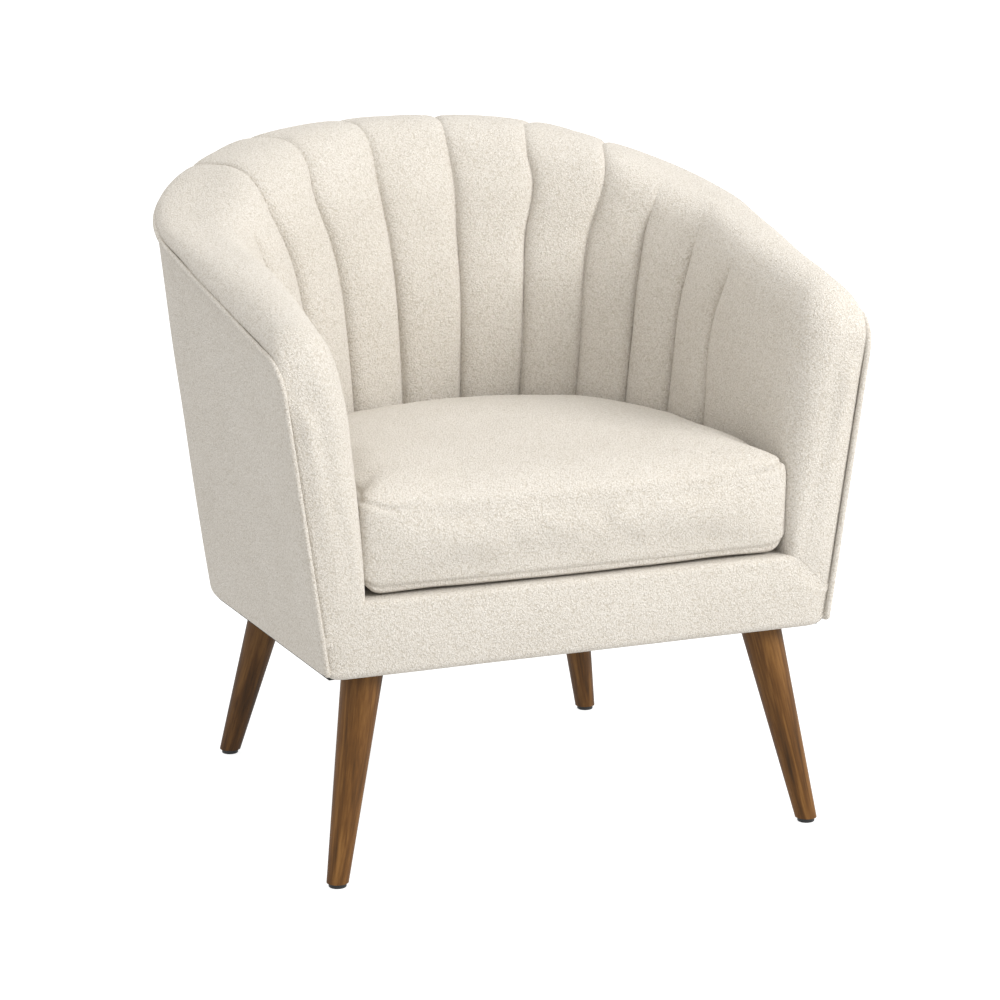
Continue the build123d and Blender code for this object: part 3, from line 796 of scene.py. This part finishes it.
def press_seams(points, normal):
    """The boxed edge's upper and lower seams."""
    x, y, z = points.T
    side = 1 - np.abs(normal[:, 2]) ** 2
    seam = CUSHION_SEAM - CUSHION_SEAM_DIP * ease(np.abs(x), 268, 226) * ease(y, -280, -300)
    shown = np.maximum(ease(y, -300, -270), ease(np.abs(x), 200, 232))
    press = 3.0 * np.exp(-(((z - seam) / CUSHION_SEAM_WIDTH) ** 2)) * shown
    press += 3.2 * np.exp(-(((z - CUSHION_LOW_SEAM) / CUSHION_SEAM_WIDTH) ** 2)) * side
    points -= normal * press[:, None]


def hold_sides(points):
    """Keeps the cushion between the arms."""
    x = points[:, 0]
    over = np.abs(x) - ARM_GAP - cushion_flare(points[:, 1])
    squeezed = over - CUSHION_SQUEEZE * np.tanh(over / CUSHION_SQUEEZE)
    points[:, 0] -= np.sign(x) * np.where(over > 0, squeezed, 0)


def press_zip(points):
    """The groove that the zip lies in."""
    x, y, z = points.T
    angle = np.degrees(np.arctan2(np.abs(x), y - ZIP_CENTRE))
    radius = np.hypot(x, y - ZIP_CENTRE)
    half = ZIP_HEIGHT / 2
    in_zip = ease(angle, ZIP_TURN + ZIP_EDGE, ZIP_TURN)
    in_zip *= ease(np.abs(z - ZIP_MIDDLE), half + ZIP_EDGE, half)
    pressed = radius - in_zip * np.clip(radius - ZIP_RADIUS + ZIP_SINK, 0, None)
    scale = np.where(in_zip > 0, pressed / np.maximum(radius, 1e-6), 1.0)
    points[:, 0] *= scale
    points[:, 1] = ZIP_CENTRE + (points[:, 1] - ZIP_CENTRE) * scale


def raise_top(points):
    """Lifts the top towards the back and along the sides."""
    from_middle, y = np.abs(points[:, 0]), points[:, 1]
    rise = CUSHION_RISE * ease(y, -300, 20) * (1 - 0.6 * ease(from_middle, 150, 235))
    rise += CUSHION_SIDE_RISE * ease(from_middle, 110, 235) * np.exp(-(((y + 190) / 105) ** 2))
    points[:, 2] += rise * ease(points[:, 2], 412, 446)


def settle(points):
    """Rests the bottom flat on the deck and lets the front edge down onto the rail."""
    points[:, 2] = np.maximum(points[:, 2], CUSHION_BOTTOM + 0.3)
    low_share = ease(points[:, 2], CUSHION_BOTTOM + 60, CUSHION_BOTTOM)
    points[:, 2] -= CUSHION_DROOP * ease(points[:, 1], -288, -310) * low_share
    low_corner = ease(np.abs(points[:, 0]), 238, 270) ** 2 * ease(points[:, 1], -270, -300)
    low_share = ease(points[:, 2], CUSHION_BOTTOM + 30, CUSHION_BOTTOM)
    points[:, 2] += CUSHION_CORNER_RISE * low_corner * low_share


def shape_cushion(piece):
    points = mesh_points(piece) * 1000
    press_seams(points, vertex_normals(piece))
    hold_sides(points)
    press_zip(points)
    raise_top(points)
    settle(points)
    set_points(piece, points / 1000)


def make_cushion():
    cushion = cushion_block()
    inflate(cushion, voxel=5, pressure=4.0, cap=5)
    relax(cushion, 4)
    subdivide(cushion)
    apply_modifiers(cushion)
    shape_cushion(cushion)
    cushion.data.polygons.foreach_set("use_smooth", [True] * len(cushion.data.polygons))
    return cushion


def zip_point(angle, radius, z):
    a = math.radians(angle)
    return (radius * math.sin(a), ZIP_CENTRE + radius * math.cos(a), z)


def make_zip_tape():
    """Zip tape sunk in the cushion's back."""
    angles = np.linspace(-ZIP_TURN, ZIP_TURN, 97)
    heights = np.linspace(-ZIP_HEIGHT / 2, ZIP_HEIGHT / 2, 11)
    rows = []
    for h in heights:
        proud = 0.7 * math.exp(-((h / 2.4) ** 2))
        rows.append([zip_point(a, ZIP_RADIUS - TAPE + proud, ZIP_MIDDLE + h) for a in angles])
    patch = Patchwork()
    patch.add(np.array(rows))
    tape = patch.build("zip_tape_cloth")
    thicken(tape, TAPE)
    return tape


def make_zip_teeth():
    """A row of interlocking teeth along the tape's middle."""
    teeth = Patchwork()
    pitch = math.degrees(TOOTH_PITCH / ZIP_RADIUS)
    half_turn = pitch * 0.3
    ring = [(-half_turn, -0.9), (-half_turn, 0.0), (half_turn, 0.0), (half_turn, -0.9)]
    ring.append(ring[0])
    for k in range(int(2 * (ZIP_TURN - 1) / pitch)):
        middle = -ZIP_TURN + 1 + pitch * (k + 0.5)
        shift = 0.8 if k % 2 else -0.8
        sweep = []
        for h in (-2.2, -1.9, 1.9, 2.2):
            proud = ZIP_RADIUS + (0.7 if abs(h) < 2 else -0.3)
            sweep.append([zip_point(middle + a, proud + r, ZIP_MIDDLE + shift + h) for a, r in ring])
        teeth.add(np.array(sweep))
        teeth.add(np.array([sweep[0][:2], sweep[0][3:1:-1]]), flip=True)
        teeth.add(np.array([sweep[-1][:2], sweep[-1][3:1:-1]]))
    return teeth.build("zip_teeth")


def make_deck():
    """The thin padded deck under the seat cushion."""
    rings = []
    middle = np.array(DECK_MIDDLE)
    turn = np.linspace(0, 180, DECK_COLUMNS)
    x, y = inner_face(turn, np.full(DECK_COLUMNS, DECK_LEVEL))
    half = np.column_stack([x, np.maximum(y, DECK_FRONT)])
    outline = np.concatenate([half, half[::-1][1:-1] * np.array([-1, 1])])
    for share in (1.0, 0.985, 0.96, 0.9, 0.8, 0.7, 0.6, 0.5, 0.4, 0.3, 0.2, 0.1, 0.0):
        z = DECK_TOP - DECK_ROLL * share**14
        rings.append(at_height(middle + (outline - middle) * share, z))
    grid = np.array(rings)
    grid = np.concatenate([grid, grid[:, :1]], 1)
    grid[..., 2] += np.minimum(unevenness(grid, seed=8, size=90, amount=0.5), 0.3)
    patch = Patchwork()
    patch.add(grid)
    deck = patch.build("deck_cover_cloth")
    thicken(deck, CLOTH)
    subdivide(deck)
    return deck


class Nodes:
    """A short way to build a material's node tree."""

    def __init__(self, name):
        self.material = bpy.data.materials.new(name)
        self.material.use_nodes = True
        self.tree = self.material.node_tree
        self.shader = self.tree.nodes["Principled BSDF"]
        self.place = self.add("ShaderNodeTexCoord").outputs["Object"]

    def add(self, kind, inputs=None, **settings):
        node = self.tree.nodes.new(kind)
        for key, value in settings.items():
            setattr(node, key, value)
        for key, value in (inputs or {}).items():
            self.put(node.inputs[key], value)
        return node

    def put(self, socket, value):
        if isinstance(value, bpy.types.NodeSocket):
            self.tree.links.new(value, socket)
        else:
            socket.default_value = value

    def set(self, **values):
        for key, value in values.items():
            self.put(self.shader.inputs[key.replace("_", " ")], value)

    def noise(self, scale, detail=2.0, roughness=0.5, vector=None, distortion=0.0):
        inputs = {"Vector": vector or self.place, "Scale": scale, "Detail": detail, "Roughness": roughness}
        return self.add("ShaderNodeTexNoise", {**inputs, "Distortion": distortion}).outputs["Fac"]

    def cells(self, scale, vector):
        return self.add("ShaderNodeTexVoronoi", {"Vector": vector, "Scale": scale}).outputs["Distance"]

    def math(self, operation, a, b=0.0):
        made = self.add("ShaderNodeMath", operation=operation)
        self.put(made.inputs[0], a)
        self.put(made.inputs[1], b)
        return made.outputs[0]

    def ramp(self, factor, *stops):
        made = self.add("ShaderNodeValToRGB", {"Fac": factor})
        elements = made.color_ramp.elements
        while len(elements) < len(stops):
            elements.new(0.5)
        for element, (position, colour) in zip(elements, stops):
            element.position, element.color = position, colour
        return made.outputs["Color"]

    def blend(self, *weighted):
        """Sum of (value, weight) pairs."""
        total = self.math("MULTIPLY", *weighted[0])
        for value, weight in weighted[1:]:
            total = self.math("ADD", total, self.math("MULTIPLY", value, weight))
        return total

    def bump(self, height, strength, distance):
        inputs = {"Height": height, "Strength": strength, "Distance": distance}
        return self.add("ShaderNodeBump", inputs).outputs["Normal"]


def warped(nodes, scale, amount):
    """Object coordinates shifted about by noise, so that cells aren't regular."""
    kind = "ShaderNodeVectorMath"
    noise = nodes.add("ShaderNodeTexNoise", {"Vector": nodes.place, "Scale": scale, "Detail": 1.0})
    shift = nodes.add(kind, {0: noise.outputs["Color"], 1: (0.5, 0.5, 0.5)}, operation="SUBTRACT")
    scaled = nodes.add(kind, {0: shift.outputs[0], "Scale": amount}, operation="SCALE")
    moved = nodes.add(kind, {0: nodes.place, 1: scaled.outputs[0]}, operation="ADD")
    return moved.outputs[0]


def boucle():
    """Short curly cream boucle: small loops with the hollows between them painted darker as shade, and a
    soft sheen.
    """
    nodes = Nodes("boucle_fabric")
    place = warped(nodes, 420.0, 0.003)
    loops = nodes.math("SUBTRACT", 1.0, nodes.cells(500.0, place))
    knots = nodes.math("SUBTRACT", 1.0, nodes.cells(1050.0, place))
    clumps = nodes.noise(260.0, 2.0, 0.6)
    fibres = nodes.noise(2100.0, 2.0, 0.7)
    height = nodes.blend((loops, 0.6), (knots, 0.3), (clumps, 0.22), (fibres, 0.12))
    tone = nodes.blend((height, 0.9), (nodes.noise(11.0), 0.12))
    # The ramp paints shade into the hollows, the low parts of the height, and slow noise adds random tone.
    colour = nodes.ramp(tone, (0.40, CREAM_HOLLOW_SHADE), (0.92, CREAM_LIGHT))
    nodes.set(Base_Color=colour, Roughness=0.94, Normal=nodes.bump(height, 1.0, 0.0017))
    nodes.set(Sheen_Weight=0.22, Sheen_Roughness=0.55, Sheen_Tint=(1.0, 0.97, 0.92, 1.0))
    nodes.set(Specular_IOR_Level=0.15)
    return nodes.material


def walnut(name, lean, depth):
    """Brown stained wood with its grain along a leg; lean is its (x, y) per unit of height, and depth
    darkens the whole leg as painted shade.
    """
    nodes = Nodes(name)
    kind = "ShaderNodeMapping"
    upright = (math.atan(lean[1]), -math.atan(lean[0]), 0.0)
    turned = nodes.add(kind, {"Vector": nodes.place, "Rotation": upright})
    along = nodes.add(kind, {"Vector": turned.outputs[0], "Scale": (1.0, 1.0, 0.055)}).outputs[0]
    grain = nodes.noise(75.0, 5.0, 0.62, along, 0.6)
    streaks = nodes.noise(420.0, 3.0, 0.6, along)
    pores = nodes.noise(1300.0, 1.0, 0.5, along)
    # depth darkens this leg's whole colour as painted shade.
    stops = [(at, (*(depth * c for c in colour), 1.0)) for at, colour in WALNUT]
    colour = nodes.ramp(nodes.blend((grain, 0.75), (streaks, 0.25)), *stops)
    height = nodes.blend((streaks, 0.6), (pores, 0.4))
    rough = nodes.math("ADD", nodes.math("MULTIPLY", streaks, 0.18), 0.4)
    nodes.set(Base_Color=colour, Roughness=rough, Normal=nodes.bump(height, 0.25, 0.0004))
    nodes.set(Coat_Weight=0.04, Coat_Roughness=0.3, Specular_IOR_Level=0.22)
    return nodes.material


def plain(name, dark, light, scale, roughness, bump, metallic=0.0, stretch=(1.0, 1.0, 1.0)):
    """A finish with fine colour variation and surface grain between two tones."""
    nodes = Nodes(name)
    place = nodes.add("ShaderNodeMapping", {"Vector": nodes.place, "Scale": stretch}).outputs[0]
    fine = nodes.noise(scale, 4.0, 0.6, place)
    coarse = nodes.noise(scale / 9, 2.0, 0.5, place)
    tone = nodes.blend((fine, 0.6), (coarse, 0.4))
    nodes.set(Base_Color=nodes.ramp(tone, (0.3, (*dark, 1.0)), (0.7, (*light, 1.0))))
    nodes.set(Roughness=nodes.math("ADD", nodes.math("MULTIPLY", fine, 0.2), roughness - 0.1))
    nodes.set(Normal=nodes.bump(fine, 0.3, bump), Metallic=metallic)
    return nodes.material


def woven(name, dark, light, pitch):
    """Thin cloth with crossing threads."""
    nodes = Nodes(name)
    waves = []
    for axis in ("X", "Y", "Z"):
        made = nodes.add("ShaderNodeTexWave", {"Vector": nodes.place, "Scale": pitch, "Distortion": 0.6})
        made.bands_direction = axis
        waves.append(made.outputs["Fac"])
    height = nodes.math("ADD", nodes.math("ADD", waves[0], waves[1]), waves[2])
    tone = nodes.blend((height, 0.2), (nodes.noise(40.0), 0.5))
    nodes.set(Base_Color=nodes.ramp(tone, (0.25, (*dark, 1.0)), (0.85, (*light, 1.0))), Roughness=0.9)
    nodes.set(Normal=nodes.bump(height, 0.4, 0.0003))
    return nodes.material


def paint(piece, material):
    piece.data.materials.clear()
    piece.data.materials.append(material)


def dress(piece, body, material, slot, *stands_for):
    """Puts a piece on its body, gives it its finish and hides the CAD nodes that it stands for."""
    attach(piece, body)
    paint(piece, material)
    if stands_for:
        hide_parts(*stands_for)


fabric = boucle()
channels = [f"back_channel_{k:02d}" for k in range(1, 12)]

tub = make_tub()
dress(tub, "chair", fabric, "boucle_fabric", "arm_pad_left", "arm_pad_right", *channels)

outside = make_outside()
dress(outside, "chair", fabric, "boucle_fabric", "outside_cover")

border = make_front_border()
dress(border, "chair", fabric, "boucle_fabric", "front_border")

welt = make_welt()
dress(welt, "chair", fabric, "boucle_fabric", "rim_welt")

deck = make_deck()
dress(deck, "chair", fabric, "boucle_fabric", "deck_pad")

cushion = make_cushion()
dress(cushion, "seat_cushion", fabric, "boucle_fabric", "cushion_cover", "cushion_core")

zip_tape = make_zip_tape()
zip_teeth = make_zip_teeth()

# Each leg's last value darkens its walnut as painted shade, the back legs most.
for name, (dx, dy, shade_factor) in LEGS.items():
    paint(frame["nodes"][name], walnut(name + "_walnut", (dx / LEG_RISE, dy / LEG_RISE), shade_factor))

black = ((0.008, 0.008, 0.008), (0.02, 0.02, 0.02))
soot = ((0.008, 0.008, 0.008), (0.03, 0.03, 0.03))
zinc = ((0.35, 0.35, 0.36), (0.62, 0.61, 0.6))
blue_steel = ((0.10, 0.10, 0.11), (0.24, 0.24, 0.25))
beech = ((0.42, 0.27, 0.15), (0.62, 0.44, 0.27))
birch = ((0.50, 0.36, 0.22), (0.68, 0.53, 0.36))
brown_board = ((0.22, 0.15, 0.09), (0.34, 0.25, 0.16))
yellow_foam = ((0.66, 0.58, 0.36), (0.80, 0.74, 0.52))
cream_tape = ((0.50, 0.45, 0.37), (0.66, 0.61, 0.52))
nickel = ((0.30, 0.28, 0.25), (0.58, 0.56, 0.52))
finishes = {
    "glide_plastic": plain("glide_plastic", *black, 900.0, 0.45, 0.0001),
    "fixing_steel": plain("zinc_steel", *zinc, 500.0, 0.38, 0.0001, metallic=1.0),
    "spring_steel": plain("spring_steel", *blue_steel, 600.0, 0.42, 0.0001, metallic=1.0),
    "frame_wood": plain("beech", *beech, 240.0, 0.65, 0.0004, stretch=(1, 1, 0.2)),
    "ply_shell": plain("birch_ply", *birch, 160.0, 0.6, 0.0003, stretch=(0.2, 0.2, 1)),
    "fibreboard": plain("fibreboard", *brown_board, 700.0, 0.85, 0.0003),
    "foam": plain("foam", *yellow_foam, 1100.0, 0.95, 0.0006),
    "lining_cloth": woven("black_nonwoven", *soot, 700.0),
    "zip_cloth": woven("zip_cloth", *cream_tape, 1500.0),
    "zip_metal": plain("zip_metal", *nickel, 800.0, 0.3, 0.0001, metallic=1.0),
    "boucle_fabric": fabric,
}
for entry in frame["record"]["subparts"]:
    if entry["material_slot"] in finishes:
        paint(frame["nodes"][entry["node"]], finishes[entry["material_slot"]])
dress(zip_tape, "seat_cushion", finishes["zip_cloth"], "zip_cloth", "zip_tape")
dress(zip_teeth, "seat_cushion", finishes["zip_metal"], "zip_metal")


def make_stage():
    bpy.ops.mesh.primitive_plane_add(size=30, location=(0, 0, 0))
    floor = bpy.context.object
    floor.name = "floor"
    nodes = Nodes("pale_floor")
    nodes.set(Base_Color=(0.35, 0.35, 0.35, 1.0), Roughness=0.9, Specular_IOR_Level=0.0)
    seen = nodes.add("ShaderNodeLightPath").outputs["Is Camera Ray"]
    glow = nodes.math("ADD", nodes.math("MULTIPLY", seen, 0.36), 0.52)
    nodes.set(Emission_Color=(1.0, 1.0, 1.0, 1.0), Emission_Strength=glow)
    paint(floor, nodes.material)


def make_light(name, place, target, size, power):
    data = bpy.data.lights.new(name, "AREA")
    data.shape, data.size, data.energy = "DISK", size, power
    light = bpy.data.objects.new(name, data)
    light.location = place
    light.rotation_euler = (Vector(target) - Vector(place)).to_track_quat("-Z", "Y").to_euler()
    bpy.context.scene.collection.objects.link(light)


def make_camera():
    azimuth, elevation = math.radians(-23.03), math.radians(13.33)
    data = bpy.data.cameras.new("camera")
    data.lens, data.sensor_width = 126.1, 36.0
    camera = bpy.data.objects.new("camera", data)
    camera.location = (-1.6134, -3.8716, 1.3515)
    flat = math.cos(elevation)
    back = Vector((math.sin(azimuth) * flat, -math.cos(azimuth) * flat, math.sin(elevation)))
    camera.rotation_euler = (-back).to_track_quat("-Z", "Y").to_euler()
    bpy.context.scene.collection.objects.link(camera)
    bpy.context.scene.camera = camera


make_stage()
make_light("key", (2.35, -2.55, 2.1), (-0.1, 0.1, 0.55), size=1.4, power=92)
make_light("top", (0.2, -0.8, 3.2), (0, 0, 0.5), size=1.8, power=17)
make_camera()

world = bpy.data.worlds.new("studio")
bpy.context.scene.world = world
world.use_nodes = True
world.node_tree.nodes["Background"].inputs["Color"].default_value = (1.0, 1.0, 1.0, 1.0)
world.node_tree.nodes["Background"].inputs["Strength"].default_value = 1.0
bpy.context.scene.view_settings.view_transform = "Standard"

bpy.context.view_layer.update()
